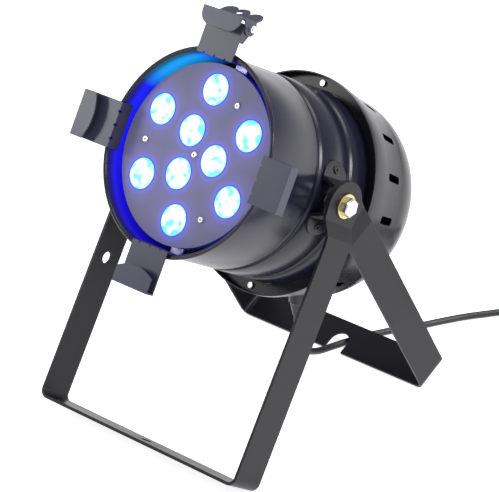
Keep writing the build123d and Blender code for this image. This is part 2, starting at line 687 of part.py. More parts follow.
with BuildPart() as power_supply:
    with BuildSketch(CAN.offset(PSU_S)):
        Rectangle(*PSU_SIZE)
    extrude(amount=-BOARD_T)
    with BuildSketch(CAN.offset(PSU_S - BOARD_T)):
        with Locations(COIL_AT):
            Rectangle(COIL_BOX[0], COIL_BOX[1])
    extrude(amount=-COIL_BOX[2])
    with BuildSketch(CAN.offset(PSU_S - BOARD_T)):
        with Locations(*CAPS):
            Circle(CAP_BOX[0])
        with Locations(CHOKE_AT):
            RectangleRounded(*CHOKE_BOX)
    extrude(amount=-CAP_BOX[1])
save(power_supply, "power_supply")

with BuildPart() as control_board:
    with BuildSketch(CAN.offset(CONTROL_S)):
        with Locations((0, CONTROL_U)):
            Rectangle(*CONTROL_SIZE)
    extrude(amount=-BOARD_T)
    with BuildSketch(CAN.offset(CONTROL_S - BOARD_T)):
        with Locations((0, DISPLAY_U)):
            Rectangle(DISPLAY_SIZE[0] - DISPLAY_LIP[0], DISPLAY_SIZE[1] - DISPLAY_LIP[1])
        with Locations((0, BUTTON_U)):
            with GridLocations(BUTTON_PITCH, 1, BUTTONS, 1):
                Rectangle(*SWITCH)
    extrude(amount=-DISPLAY_DEEP)
save(control_board, "control_board")

# ---------------------------------------------------------------- rear panel pieces
with BuildPart() as display_window:
    with BuildSketch(BACK_FACE.offset(SHEET)):
        with Locations((0, DISPLAY_U)):
            Rectangle(*DISPLAY_SIZE)
    extrude(amount=-SHEET - DISPLAY_PROUD)
    with BuildSketch(BACK_FACE.offset(SHEET)):
        with Locations((0, DISPLAY_U)):
            Rectangle(DISPLAY_SIZE[0] + DISPLAY_LIP[0], DISPLAY_SIZE[1] + DISPLAY_LIP[1])
    extrude(amount=DISPLAY_LIP[2])
save(display_window, "display_window")

BUTTON_NAMES = ("menu", "down", "up", "enter")
SWITCH_FACE = CONTROL_S - BOARD_T - DISPLAY_DEEP
for index, name in enumerate(BUTTON_NAMES):
    with BuildPart() as button:
        place = (BUTTON_PITCH * (index - (BUTTONS - 1) / 2), BUTTON_U)
        with BuildSketch(BACK_FACE.offset(-BUTTON_OUT)):
            with Locations(place):
                Circle(BUTTON_R)
        extrude(amount=SWITCH_FACE - BACK_S + BUTTON_OUT - BUTTON_TRAVEL - BUTTON_REST)
    save(button, f"button_{name}")

PINS = [(XLR_PIN_PCR * cos(a), XLR_PIN_PCR * sin(a)) for a in (-pi / 2, pi / 6, 5 * pi / 6)]

with BuildPart() as dmx_input:
    with BuildSketch(BACK_FACE):
        with Locations((XLR_X, XLR_U)):
            RectangleRounded(*XLR_FLANGE, XLR_CORNER)
    extrude(amount=-XLR_FLANGE_T)
    with BuildSketch(BACK_FACE.offset(-XLR_FLANGE_T)):
        with Locations((XLR_X, XLR_U)):
            Circle(XLR_BODY_R)
    extrude(amount=XLR_FLANGE_T + XLR_BODY_LEN)
    with BuildSketch(BACK_FACE.offset(-XLR_FLANGE_T)):
        with Locations((XLR_X, XLR_U)):
            Circle(XLR_MOUTH_R)
    extrude(amount=XLR_MOUTH_DEEP, mode=Mode.SUBTRACT)
    with BuildSketch(BACK_FACE.offset(-XLR_FLANGE_T + XLR_MOUTH_DEEP)):
        with Locations(*[(XLR_X + x, XLR_U + u) for x, u in PINS]):
            Circle(XLR_PIN_R)
    extrude(amount=-XLR_MOUTH_DEEP + XLR_PIN_BACK)
save(dmx_input, "dmx_input")

with BuildPart() as dmx_output:
    with BuildSketch(BACK_FACE):
        with Locations((-XLR_X, XLR_U)):
            RectangleRounded(*XLR_FLANGE, XLR_CORNER)
    extrude(amount=-XLR_FLANGE_T)
    with BuildSketch(BACK_FACE.offset(-XLR_FLANGE_T)):
        with Locations((-XLR_X, XLR_U)):
            Circle(XLR_BODY_R)
    extrude(amount=XLR_FLANGE_T + XLR_BODY_LEN)
    with BuildSketch(BACK_FACE.offset(-XLR_FLANGE_T)):
        with Locations((-XLR_X, XLR_U)):
            Circle(XLR_MOUTH_R)
            Circle(XLR_CORE_R, mode=Mode.SUBTRACT)
    extrude(amount=XLR_MOUTH_DEEP, mode=Mode.SUBTRACT)
    with BuildSketch(BACK_FACE.offset(-XLR_FLANGE_T)):
        with Locations((-XLR_X, XLR_TAB_U)):
            Rectangle(*XLR_TAB)
    extrude(amount=XLR_TAB_ROOM[2], mode=Mode.SUBTRACT)
save(dmx_output, "dmx_output")

with BuildPart() as dmx_latch:
    with BuildSketch(BACK_FACE.offset(-XLR_FLANGE_T - XLR_TAB_OUT)):
        with Locations((-XLR_X, XLR_TAB_U)):
            Rectangle(XLR_TAB[0] - XLR_TAB_ROOM[0], XLR_TAB[1] - XLR_TAB_ROOM[0])
    extrude(amount=XLR_TAB_LEN)
save(dmx_latch, "dmx_latch")

# ---------------------------------------------------------------- side brackets and their rivets


def foot_x(u):
    """Underside of a bracket's foot, just off the barrel, at height u from the tilt axis."""
    return sqrt(BARREL_R**2 - (u + AXIS_DROP) ** 2) + FOOT_GAP


def rivet_plane(side, u):
    """Plane on a bracket's foot, square to the barrel, at height u from the tilt axis."""
    lean = asin((u + AXIS_DROP) / BARREL_R)
    out = X_AXIS * side * cos(lean) + UPWARD * sin(lean)
    seat = BARREL_R + FOOT_GAP + BRACKET_T
    return Plane(origin=CAN.origin + out * seat + FORWARD * BRACKET_S, x_dir=FORWARD, z_dir=out)


def foot_arc(start, end, lift):
    """Arc along a foot from one height to the other, lifted off its underside."""
    middle = (start + end) / 2
    ThreePointArc(*[(foot_x(u) + lift, u) for u in (start, middle, end)])


TILT_FRAME = Plane(origin=PIVOT, x_dir=X_AXIS, z_dir=FORWARD)      # X and height, square to the can
FOLD_IN = FOOT_IN - BRACKET_T
PAD_IN = BRACKET_PAD - BRACKET_T
SQUARE_ON = Plane(origin=PIVOT, x_dir=UPWARD, z_dir=X_AXIS)        # height and station, along the tilt axis
for side, name in ((1, "right"), (-1, "left")):
    slice_plane = Plane(
        origin=TILT_FRAME.origin + FORWARD * (BRACKET_S - BRACKET_W / 2),
        x_dir=X_AXIS * side,
        z_dir=FORWARD * side,
    )
    with BuildPart() as side_bracket:
        with BuildSketch(slice_plane):
            with BuildLine():
                foot_arc(FOOT_OUT, FOOT_IN, BRACKET_T)
                Polyline((foot_x(FOOT_IN) + BRACKET_T, FOOT_IN), (BRACKET_PAD, PAD_HALF),
                         (BRACKET_PAD, -PAD_HALF), (foot_x(-FOOT_IN) + BRACKET_T, -FOOT_IN))
                foot_arc(-FOOT_IN, -FOOT_OUT, BRACKET_T)
                end = foot_x(FOOT_OUT)
                lower_end = foot_x(-FOOT_OUT)
                Line((lower_end + BRACKET_T, -FOOT_OUT), (lower_end, -FOOT_OUT))
                foot_arc(-FOOT_OUT, -FOLD_IN, 0)
                Polyline((foot_x(-FOLD_IN), -FOLD_IN), (PAD_IN, -PAD_HALF + BRACKET_T),
                         (PAD_IN, PAD_HALF - BRACKET_T), (foot_x(FOLD_IN), FOLD_IN))
                foot_arc(FOLD_IN, FOOT_OUT, 0)
                Line((end, FOOT_OUT), (end + BRACKET_T, FOOT_OUT))
            make_face()
        extrude(amount=BRACKET_W * side)
        with BuildSketch(SQUARE_ON):
            with Locations((0, BRACKET_S)):
                SlotOverall(2 * FOOT_OUT, BRACKET_W)
        extrude(amount=BRACKET_PAD + BRACKET_T, both=True, mode=Mode.INTERSECT)
        with BuildSketch(SQUARE_ON):
            Circle(PIVOT_HOLE)
        extrude(amount=BRACKET_PAD + BRACKET_T, both=True, mode=Mode.SUBTRACT)
        for u in (FOOT_HOLE, -FOOT_HOLE):
            with BuildSketch(rivet_plane(side, u)):
                Circle(RIVET_R + RIVET_PLAY)
            extrude(amount=BRACKET_T + 1, both=True, mode=Mode.SUBTRACT)
    save(side_bracket, f"side_bracket_{name}")

with BuildPart() as bracket_rivets:
    for side in SIDES:
        for u in (FOOT_HOLE, -FOOT_HOLE):
            seat = rivet_plane(side, u).offset(RIVET_SEAT)
            with BuildSketch(seat):
                Circle(RIVET_HEAD_R)
            extrude(amount=RIVET_HEAD, taper=RIVET_TAPER)
            with BuildSketch(seat):
                Circle(RIVET_R)
            extrude(amount=-BRACKET_T)
            with BuildSketch(seat.offset(RIVET_HEAD)):
                Circle(RIVET_R - RIVET_WALL)
            extrude(amount=-RIVET_DEEP, mode=Mode.SUBTRACT)
save(bracket_rivets, "bracket_rivets")

# ---------------------------------------------------------------- colour frame clips
PLATE_BACK = CLIP_S
PLATE_FRONT = CLIP_S + CLIP_T
LIP_BACK = PLATE_FRONT + CLIP_SLOT
LIP_FRONT = LIP_BACK + CLIP_T
CLIP_INNER = CLIP_REACH - CLIP_T
TAB_OUT = sqrt(BARREL_IN**2 - (CLIP_W / 2) ** 2) - STACK_GAP       # flat tab, its edges just in the barrel
TAB_IN = TAB_OUT - CLIP_T
NOTCH_PITCH = CLIP_W / NOTCH_SHARE
NOTCH_EDGE = CLIP_NOTCH * NOTCH_SIDE


def clip_frame(angle, height=0.0):
    """Plane across the can's axis at a station, turned so that its x runs out to the clip."""
    a = radians(angle)
    return Plane(origin=CAN.origin + FORWARD * height, x_dir=X_AXIS * cos(a) + UPWARD * sin(a), z_dir=FORWARD)


def clip_profile_plane(angle):
    """Plane through a clip's middle: x out from the can axis, y forward."""
    across = clip_frame(angle)
    return Plane(origin=CAN.origin, x_dir=across.x_dir, z_dir=across.x_dir.cross(FORWARD))


for name, angle in (("right", 0), ("left", 180), ("bottom", -90)):
    with BuildPart() as gel_clip:
        with BuildSketch(clip_profile_plane(angle)):
            with BuildLine():
                Polyline((TAB_IN, CLIP_S - CLIP_ROOT), (TAB_OUT, CLIP_S - CLIP_ROOT), (TAB_OUT, PLATE_BACK),
                         (CLIP_REACH, PLATE_BACK), (CLIP_REACH, LIP_FRONT), (CLIP_INNER, LIP_FRONT),
                         (CLIP_INNER, PLATE_FRONT), (TAB_IN, PLATE_FRONT), close=True)
            make_face()
        extrude(amount=CLIP_W / 2, both=True)
        with BuildSketch(clip_frame(angle, LIP_BACK)):
            with BuildLine():
                corner = CLIP_REACH - CLIP_LIP
                outer = CLIP_REACH - CLIP_T / 3
                half = CLIP_W / 2
                Polyline((corner, -half), (outer, -half), (outer, half), (corner, half))
                ThreePointArc((corner, half), (corner - CLIP_BULGE, 0), (corner, -half))
            make_face()
        extrude(amount=CLIP_T)
        with BuildSketch(clip_frame(angle, PLATE_BACK - CLIP_NOTCH)):
            with Locations(*[(TAB_IN, k * NOTCH_PITCH) for k in (-1, 0, 1)]):
                Triangle(a=2 * CLIP_NOTCH, b=NOTCH_EDGE, c=NOTCH_EDGE, rotation=-90, align=Align.CENTER)
        extrude(amount=CLIP_NOTCH + CLIP_T + 1, mode=Mode.SUBTRACT)
    save(gel_clip, f"gel_clip_{name}")

# ---------------------------------------------------------------- sprung top clip
PIN_S, PIN_U = LATCH_PIN
EAR_IN = CLIP_W / 2 + EAR_GAP             # inside of the moving ears, from the latch's middle
EAR_OUT = EAR_IN + CLIP_T
BRACKET_TOP = PIN_U + BRACKET_OVER
LATCH_ORIGIN = CAN.origin + X_AXIS * LATCH_X


def latch_plane(x):
    """Plane across the latch at x from its middle: x forward, y up, from the can axis."""
    return Plane(origin=LATCH_ORIGIN + X_AXIS * x, x_dir=FORWARD, z_dir=-X_AXIS)


def latch_front(station):
    """Plane square to the can's axis, centred on the latch."""
    return Plane(origin=LATCH_ORIGIN + FORWARD * station, x_dir=X_AXIS, z_dir=FORWARD)


with BuildPart() as latch_bracket:
    with BuildSketch(latch_front(PLATE_BACK)):
        with Locations((0, (TAB_IN + BRACKET_TOP) / 2)):
            Rectangle(CLIP_W, BRACKET_TOP - TAB_IN)
    extrude(amount=CLIP_T)
    with BuildSketch(latch_front(CLIP_S - CLIP_ROOT)):
        with Locations((-LATCH_X, (TAB_IN + TAB_OUT) / 2)):
            Rectangle(CLIP_W + 2 * LATCH_X, CLIP_T)
    extrude(amount=CLIP_ROOT + CLIP_T)
    with BuildSketch(latch_plane(CLIP_W / 2)):
        with BuildLine():
            foot = PIN_U - BRACKET_DROP
            rear = PIN_S - BRACKET_EAR_R
            Polyline((PLATE_FRONT, BRACKET_TOP), (PLATE_FRONT, foot), (PLATE_BACK - BRACKET_EAR_R, foot),
                     (rear, PIN_U - BRACKET_NECK), (rear, PIN_U), close=True)
        make_face()
        with Locations((PIN_S, PIN_U)):
            Circle(BRACKET_EAR_R)
    extrude(amount=CLIP_W)
    with BuildSketch(latch_front(PLATE_BACK)):
        with Locations((0, PIN_U - BRACKET_WEB[0])):
            Rectangle(CLIP_W - 2 * CLIP_T, BRACKET_WEB[1])
    extrude(amount=-BRACKET_WEB[1], mode=Mode.SUBTRACT)
    with BuildSketch(latch_plane(CLIP_W)):
        with Locations((PIN_S, PIN_U)):
            Circle(LATCH_PIN_R)
    extrude(amount=2 * CLIP_W, mode=Mode.SUBTRACT)
    with BuildSketch(latch_front(PLATE_BACK - 1)):
        with Locations(*[(k * NOTCH_PITCH, TAB_IN) for k in (-1, 0, 1)]):
            Triangle(a=2 * CLIP_NOTCH, b=NOTCH_EDGE, c=NOTCH_EDGE, align=Align.CENTER)
    extrude(amount=CLIP_T + 2, mode=Mode.SUBTRACT)
save(latch_bracket, "latch_bracket")

THUMB_S = PIN_S - THUMB_FRONT
LIP_END = CLIP_REACH - LATCH_LIP
thumb_len = hypot(THUMB_BACK, THUMB_RISE)
thumb_x = (-FORWARD * THUMB_BACK + UPWARD * THUMB_RISE) * (1 / thumb_len)
thumb_base = LATCH_ORIGIN + FORWARD * (THUMB_S + THUMB_LAP) + UPWARD * CLIP_INNER
waves = list(zip(WAVE_BACK, (EAR_OUT - WAVE_SIDE, -THUMB_FRONT, WAVE_R - EAR_OUT)))
SLOT_AT = [(side * (EAR_OUT - LIP_SLOT_IN[0]), LIP_SLOT_IN[1] - LIP_BACK) for side in SIDES]
with BuildPart() as latch_clip:
    with BuildSketch(latch_plane(EAR_OUT)):
        with BuildLine():
            Polyline((THUMB_S, CLIP_INNER), (LIP_BACK, CLIP_INNER), (LIP_BACK, LIP_END), (LIP_FRONT, LIP_END),
                     (LIP_FRONT, CLIP_REACH), (THUMB_S, CLIP_REACH), close=True)
        make_face()
    extrude(amount=2 * EAR_OUT)
    with BuildSketch(Plane(origin=thumb_base, x_dir=thumb_x, z_dir=X_AXIS.cross(thumb_x) * -1)):
        Rectangle(2 * (thumb_len - WAVE_R + 1), 2 * EAR_OUT)
        with Locations(*[(thumb_len - back, across) for back, across in waves]):
            Circle(WAVE_R)
        with Locations((-thumb_len, 0)):
            Rectangle(2 * thumb_len, 2 * EAR_OUT, mode=Mode.SUBTRACT)
        with Locations((thumb_len * THUMB_HOLE[0], THUMB_HOLE[1])):
            Circle(THUMB_HOLE_R, mode=Mode.SUBTRACT)
    extrude(amount=CLIP_T)
    for x in (EAR_OUT, -EAR_IN):
        with BuildSketch(latch_plane(x)):
            with BuildLine():
                top = CLIP_REACH - CLIP_T / 2
                Polyline((THUMB_S - EAR_BACK, top), (LIP_FRONT - EAR_FRONT, top),
                         (PIN_S + EAR_R, PIN_U), (PIN_S - EAR_R, PIN_U), close=True)
            make_face()
            with Locations((PIN_S, PIN_U)):
                Circle(EAR_R)
        extrude(amount=CLIP_T)
    with BuildSketch(latch_plane(EAR_OUT + 1)):
        with Locations((PIN_S, PIN_U)):
            Circle(LATCH_PIN_R + PIN_SLIP)
    extrude(amount=2 * EAR_OUT + 2, mode=Mode.SUBTRACT)
    with BuildSketch(Plane(origin=LATCH_ORIGIN + UPWARD * (CLIP_INNER - 1), x_dir=X_AXIS, z_dir=UPWARD)):
        with Locations(*SLOT_AT):
            SlotOverall(*LIP_SLOT)
    extrude(amount=CLIP_T + 2, mode=Mode.SUBTRACT)
    corners = latch_clip.edges().filter_by(Axis((0, 0, 0), FORWARD)).filter_by(
        lambda edge: abs((edge.center() - CAN.origin).dot(UPWARD) - LIP_END) < CLIP_T
        and (edge.center() - CAN.origin).dot(FORWARD) > LIP_BACK
    )
    fillet(corners, LIP_CORNER)
save(latch_clip, "latch_clip")

PIN_END = EAR_OUT + PIN_PLAY + LATCH_NUT[1]
with BuildPart() as latch_pin:
    with BuildSketch(latch_plane(PIN_END)):
        with Locations((PIN_S, PIN_U)):
            Circle(LATCH_PIN_R)
    extrude(amount=PIN_END + EAR_OUT + PIN_PLAY)
    with BuildSketch(latch_plane(-EAR_OUT - PIN_PLAY)):
        with Locations((PIN_S, PIN_U)):
            Circle(PIN_HEAD[0])
    extrude(amount=PIN_HEAD[1], taper=PIN_HEAD[2])
save(latch_pin, "latch_pin")

with BuildPart() as latch_nut:
    with BuildSketch(latch_plane(PIN_END - LATCH_NUT[2])):
        with Locations((PIN_S, PIN_U)):
            RegularPolygon(LATCH_NUT[0], HEX, major_radius=False)
            Circle(LATCH_PIN_R, mode=Mode.SUBTRACT)
    extrude(amount=LATCH_NUT[1] - LATCH_NUT[2])
save(latch_nut, "latch_nut")

spring_pitch = SPRING_WIRE * SPRING_OPEN
spring_reach = SPRING_TURNS * spring_pitch / 2
spring_start = LATCH_ORIGIN - X_AXIS * spring_reach + FORWARD * PIN_S + UPWARD * PIN_U
with BuildPart() as latch_spring:
    with BuildLine():
        coil = Helix(pitch=spring_pitch, height=SPRING_TURNS * spring_pitch, radius=SPRING_R,
                     center=spring_start, direction=X_AXIS)
    with BuildSketch(Plane(origin=coil @ 0, z_dir=coil % 0)):
        Circle(SPRING_WIRE / 2)
    sweep(is_frenet=True)
save(latch_spring, "latch_spring")

# ---------------------------------------------------------------- cord gland
HOLE_SINK = DOME_R - sqrt(DOME_R**2 - CABLE_HOLE_R**2)
NUT_SINK = DOME_R - sqrt(dome_in**2 - LOCKNUT[0] ** 2) + RIVET_SEAT
collar = CABLE_HOLE_R - GLAND_PLAY
with BuildPart() as cord_gland:
    with BuildSketch(Plane(origin=GLAND_SEAT, x_dir=GLAND_DIR, z_dir=X_AXIS)):
        with BuildLine():
            Polyline((GLAND_LEN, 0), (GLAND_LEN, GLAND_NECK_R), (GLAND_CONE[1], GLAND_R - GLAND_CONE[2]),
                     (GLAND_CONE[0], GLAND_R), (-HOLE_SINK, GLAND_R), (-HOLE_SINK, collar),
                     (-NUT_SINK, collar), (-NUT_SINK, LOCKNUT[0]), (-NUT_SINK - LOCKNUT[1], LOCKNUT[0]),
                     (-NUT_SINK - LOCKNUT[1], 0), close=True)
        make_face()
    revolve(axis=Axis(GLAND_SEAT, GLAND_DIR))
save(cord_gland, "cord_gland")

# ---------------------------------------------------------------- lead, coil, tie and plug
CORD_START = GLAND_SEAT + GLAND_DIR * GLAND_LEN
COIL_R_OUT = COIL_MID_R + COIL_WIDE * CORD_D / 2
COIL_R_IN = COIL_MID_R - COIL_WIDE * CORD_D / 2
TURN_R = COIL_R_OUT - CORD_D / 2
route = [CORD_START, CORD_START + GLAND_DIR * LEAD_DROP] + [Vector(*point) for point in CORD_ROUTE]


def corner_radii(points):
    """The largest arc each corner allows: a share of its shorter run over the tangent of half the turn."""
    radii = []
    for before, here, after in zip(points, points[1:], points[2:]):
        arriving = here - before
        leaving = after - here
        half_turn = radians(arriving.get_angle(leaving)) / 2
        radii.append(ARC_SHARE * min(arriving.length, leaving.length) / tan(half_turn))
    return radii


radii = corner_radii(route)
print("lead radii", [round(radius) for radius in radii])
with BuildPart() as cord_tube:
    with BuildLine() as lead_line:
        FilletPolyline(*route, radius=radii)
    with BuildSketch(Plane(origin=CORD_START, z_dir=route[1] - route[0])):
        Circle(CORD_D / 2)
    sweep(path=lead_line.wires()[0])
save(cord_tube, "cord_tube")
lead_length = lead_line.wires()[0].length
straight_volume = lead_length * pi * CORD_D**2 / 4
print("lead length", round(lead_length), "volume ratio", cord_tube.part.volume / straight_volume)

arrive = (route[-1] - route[-2])
arrive = Vector(arrive.X, arrive.Y, 0).normalized()
COIL_CENTRE = Vector(route[-1].X, route[-1].Y, 0) + Vector(arrive.Y, -arrive.X, 0) * TURN_R
COIL_TOP = COIL_Z + COIL_HIGH * CORD_D

with BuildPart() as cord_coil:
    with BuildSketch(Plane(origin=COIL_CENTRE + Vector(0, 0, COIL_Z), z_dir=(0, 0, 1))):
        Circle(COIL_R_OUT)
        Circle(COIL_R_IN, mode=Mode.SUBTRACT)
    extrude(amount=COIL_TOP - COIL_Z)
    fillet(cord_coil.edges().filter_by(GeomType.CIRCLE), CORD_D / 2 - COIL_ROUND)
save(cord_coil, "cord_coil")

tie_side = Vector(cos(TIE_ANGLE), sin(TIE_ANGLE), 0)
tie_round = CORD_D / 2 - COIL_ROUND
tie_middle = COIL_CENTRE + tie_side * COIL_MID_R + Vector(0, 0, (COIL_Z + COIL_TOP) / 2)
with BuildPart() as cord_tie:
    with BuildSketch(Plane(origin=tie_middle, x_dir=tie_side, z_dir=tie_side.cross(Vector(0, 0, 1)))):
        RectangleRounded(COIL_WIDE * CORD_D + 2 * TIE_T, COIL_HIGH * CORD_D + 2 * TIE_T, tie_round + TIE_T)
        RectangleRounded(COIL_WIDE * CORD_D, COIL_HIGH * CORD_D, tie_round, mode=Mode.SUBTRACT)
    revolve(axis=Axis(COIL_CENTRE, (0, 0, 1)), revolution_arc=degrees(TIE_W / COIL_MID_R))
save(cord_tie, "cord_tie")

TAIL = radians(TAIL_ANGLE)
tail_out = Vector(cos(TAIL), sin(TAIL), 0)
tail_dir = Vector(sin(TAIL), -cos(TAIL), 0)
tail_start = COIL_CENTRE + tail_out * TURN_R + tail_dir * COIL_TAIL + Vector(0, 0, COIL_TOP - CORD_D / 2)
slope_up = PLUG_R + PLUG_REST - (COIL_TOP - CORD_D / 2)
plug_axis = (tail_dir + Vector(0, 0, slope_up / (PLUG_RELIEF + PLUG_LEN))).normalized()
PLUG_SIDE = Plane(origin=tail_start, x_dir=plug_axis, z_dir=tail_out)

with BuildPart() as plug_body:
    with BuildSketch(PLUG_SIDE):
        with BuildLine():
            end = PLUG_RELIEF + PLUG_LEN
            Polyline((0, 0), (0, PLUG_NECK_R), (PLUG_RELIEF, PLUG_REAR_R),
                     (PLUG_RELIEF + PLUG_SHOULDER[0], PLUG_R - PLUG_SHOULDER[1]),
                     (end - PLUG_GRIP[0], PLUG_R - PLUG_GRIP[2]), (end - PLUG_GRIP[1], PLUG_R), (end, PLUG_R),
                     (end, 0), close=True)
        make_face()
    revolve(axis=Axis(tail_start, plug_axis))
save(plug_body, "plug_body")

with BuildPart() as plug_pins:
    with BuildSketch(Plane(origin=tail_start + plug_axis * end, x_dir=tail_out, z_dir=plug_axis)):
        with Locations((PIN_HALF, 0), (-PIN_HALF, 0)):
            Circle(PIN_R)
    extrude(amount=PIN_LEN)
save(plug_pins, "plug_pins")
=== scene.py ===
"""LED par can on a double floor yoke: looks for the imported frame. Metres, +Z up, the lamp faces -Y and up."""
import math

import bpy
from mathutils import Matrix, Vector


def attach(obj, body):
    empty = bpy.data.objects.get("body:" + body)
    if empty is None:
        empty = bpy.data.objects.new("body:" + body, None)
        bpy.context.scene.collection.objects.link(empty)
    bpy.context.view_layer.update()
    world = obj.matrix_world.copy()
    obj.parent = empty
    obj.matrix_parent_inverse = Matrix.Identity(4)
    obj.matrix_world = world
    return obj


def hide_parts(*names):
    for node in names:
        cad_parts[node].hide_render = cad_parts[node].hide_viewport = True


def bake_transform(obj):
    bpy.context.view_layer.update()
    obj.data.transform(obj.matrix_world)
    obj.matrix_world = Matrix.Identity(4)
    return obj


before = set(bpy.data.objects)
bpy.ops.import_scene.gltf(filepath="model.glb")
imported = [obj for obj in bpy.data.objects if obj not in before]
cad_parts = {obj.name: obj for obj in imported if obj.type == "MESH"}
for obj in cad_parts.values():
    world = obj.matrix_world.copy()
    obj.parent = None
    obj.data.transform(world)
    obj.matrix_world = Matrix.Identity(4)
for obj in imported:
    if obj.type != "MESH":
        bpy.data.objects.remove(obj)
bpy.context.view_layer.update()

# ---------------------------------------------------------------- camera
# A long lens from the lamp's front right, a little above it and leaning very slightly to one side.
SENSOR = 0.036
camera_data = bpy.data.cameras.new("camera")
camera_data.sensor_width = SENSOR * 1000
camera_data.lens = 212.35
camera_data.clip_end = 20
camera = bpy.data.objects.new("camera", camera_data)
bpy.context.collection.objects.link(camera)
bpy.context.scene.camera = camera
bpy.context.scene.view_settings.view_transform = "Standard"
view_azimuth, view_height, view_roll = (math.radians(angle) for angle in (44.966, 27.032, -2.263))
view_back = Vector((
    math.sin(view_azimuth) * math.cos(view_height),
    -math.cos(view_azimuth) * math.cos(view_height),
    math.sin(view_height),
))
camera.matrix_world = (
    Matrix.Translation((1.7627, -1.7693, 1.4328))
    @ (-view_back).to_track_quat("-Z", "Y").to_matrix().to_4x4()
    @ Matrix.Rotation(view_roll, 4, "Z")
)

# ---------------------------------------------------------------- mains lead
# A black 7 mm flexible lead drops out of the gland under the lamp, turns on the floor, passes the notch
# in the rear crossbar and runs off to the right. The rest is wound in a coil held by a strap, its plug
# beside it.
LEAD = 0.007
LEAD_ROUTE = [
    (0, 0.05814, 0.05998), (0, 0.05632, 0.03856), (-0.001, 0.065, 0.017), (-0.002, 0.086, 0.0055),
    (0, 0.108, 0.0036), (0.006, 0.130, 0.0036), (0.014, 0.152, 0.0036), (0.025, 0.174, 0.0036),
    (0.038, 0.195, 0.0036), (0.049, 0.218, 0.0036), (0.061, 0.241, 0.0036), (0.076, 0.262, 0.0036),
    (0.090, 0.284, 0.0036), (0.105, 0.308, 0.0050),
]
COIL_OUT, COIL_IN = 0.042, 0.035
COIL_LAYERS = (0.005, 0.012, 0.019)
arriving = (Vector(LEAD_ROUTE[-1]) - Vector(LEAD_ROUTE[-2])).to_2d().normalized()
coil_centre = Vector(LEAD_ROUTE[-1]).to_2d() + Vector((arriving.y, -arriving.x)) * COIL_OUT
coil_start = math.atan2(arriving.x, -arriving.y)
TAIL_ANGLE = math.radians(39.6)
TAIL = 0.017
STEPS = 16
turned_by = coil_start - TAIL_ANGLE + 4 * 2 * math.pi
step_count = round(turned_by / (2 * math.pi) * STEPS)
turn_levels = [(COIL_OUT, COIL_LAYERS[0]), (COIL_IN, COIL_LAYERS[0]), (COIL_IN, COIL_LAYERS[1]),
               (COIL_OUT, COIL_LAYERS[1]), (COIL_OUT, COIL_LAYERS[2])]
coil_points = []
for step in range(1, step_count):
    turn, part = divmod(step * turned_by / step_count / (2 * math.pi), 1)
    here, after = turn_levels[int(turn)], turn_levels[min(int(turn) + 1, 4)]
    climb = max(0.0, (part - 0.8) / 0.2)
    ease = climb * climb * (3 - 2 * climb)
    radius = (here[0] + (after[0] - here[0]) * ease) / math.cos(math.pi / STEPS)
    angle = coil_start - step * turned_by / step_count
    coil_points.append((coil_centre.x + radius * math.cos(angle), coil_centre.y + radius * math.sin(angle),
                        here[1] + (after[1] - here[1]) * ease))
tail_out = Vector((math.cos(TAIL_ANGLE), math.sin(TAIL_ANGLE), 0))
tail_way = Vector((math.sin(TAIL_ANGLE), -math.cos(TAIL_ANGLE), 0))
tail_root = Vector((coil_centre.x, coil_centre.y, COIL_LAYERS[2])) + tail_out * COIL_OUT
lead_points = LEAD_ROUTE + coil_points + [tail_root + tail_way * 0.004, tail_root + tail_way * TAIL]
lead_curve = bpy.data.curves.new("lead", "CURVE")
lead_curve.dimensions = "3D"
lead_curve.bevel_depth = 1.0
lead_curve.bevel_resolution = 5
lead_curve.use_fill_caps = True
lead_curve.resolution_u = 8
spline = lead_curve.splines.new("NURBS")
spline.points.add(len(lead_points) - 1)
for point, place in zip(spline.points, lead_points):
    point.co = (*place, 1)
    point.radius = LEAD / 2
spline.order_u = 3
spline.use_endpoint_u = True
lead = bpy.data.objects.new("lead", lead_curve)
bpy.context.collection.objects.link(lead)
centre_line = lead.copy()
centre_line.data = lead_curve.copy()
centre_line.data.bevel_depth = 0
bpy.context.collection.objects.link(centre_line)
for piece in (centre_line, lead):
    bpy.ops.object.select_all(action="DESELECT")
    piece.select_set(True)
    bpy.context.view_layer.objects.active = piece
    bpy.ops.object.convert(target="MESH")
bpy.ops.object.mode_set(mode="EDIT")
bpy.ops.mesh.select_all(action="SELECT")
bpy.ops.mesh.remove_doubles(threshold=1e-6)
bpy.ops.mesh.normals_make_consistent(inside=False)
bpy.ops.object.mode_set(mode="OBJECT")
bpy.ops.object.shade_smooth_by_angle(angle=math.radians(40))
bpy.data.objects.remove(centre_line, do_unlink=True)
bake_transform(lead)
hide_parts("cord_tube", "cord_coil")

sheath = bpy.data.materials.new("lead_sheath")
sheath.use_nodes = True
surface = sheath.node_tree.nodes["Principled BSDF"]
surface.inputs["Base Color"].default_value = (0.012, 0.012, 0.014, 1)
surface.inputs["Roughness"].default_value = 0.36
surface.inputs["Specular IOR Level"].default_value = 0.5
lead.data.materials.append(sheath)

